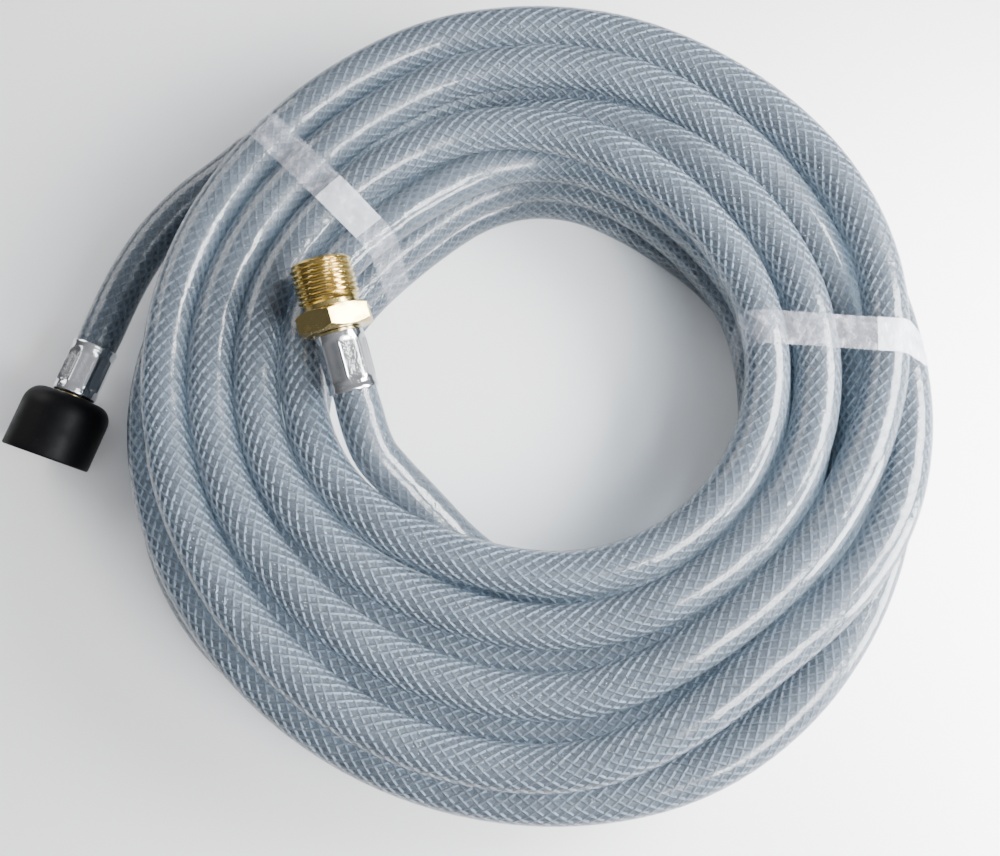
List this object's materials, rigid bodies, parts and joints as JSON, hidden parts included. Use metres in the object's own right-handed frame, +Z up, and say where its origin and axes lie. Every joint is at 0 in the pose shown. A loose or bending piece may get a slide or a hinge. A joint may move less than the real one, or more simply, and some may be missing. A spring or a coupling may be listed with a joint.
{
  "type": "braided hose coil",
  "caption": "Coil of clear braided hose held by tape wraps, with a crimped brass male thread on one end and a crimped black swivel nut on the other.",
  "frame": {"origin": "on the surface the coil lies on, under the middle of the bounding box", "axes": "+Z up through the hole of the coil, +Y towards the far side of the picture, +X to its right; the nut's end leaves to the left"},
  "size_m": [0.353, 0.3032, 0.0835],
  "materials": {
    "hose": "clear PVC with a white yarn braid in the wall",
    "brass": "turned, bright",
    "plated_ferrule": "plated, crimped, shiny",
    "nut_plastic": "black, smooth",
    "washer": "flat sealing washer",
    "tape": "clear packing tape, wrapped tight"
  },
  "bodies": {
    "hose": {"hose_coil": "hose", "hose_nut_end": "hose", "hose_brass_end": "hose", "male_connector": "brass", "male_ferrule": "plated_ferrule", "nut_tail": "brass", "nut_ferrule": "plated_ferrule", "sealing_washer": "washer", "tape_band_left": "tape", "tape_band_right": "tape"},
    "nut": {"swivel_nut": "nut_plastic"}
  },
  "joints": [
    {"name": "nut_spin", "type": "hinge", "parent": "hose", "child": "nut", "pos_m": [-0.15724, -0.01183, 0.016], "axis": [-0.3291, -0.9443, 0], "continuous": true}
  ]
}
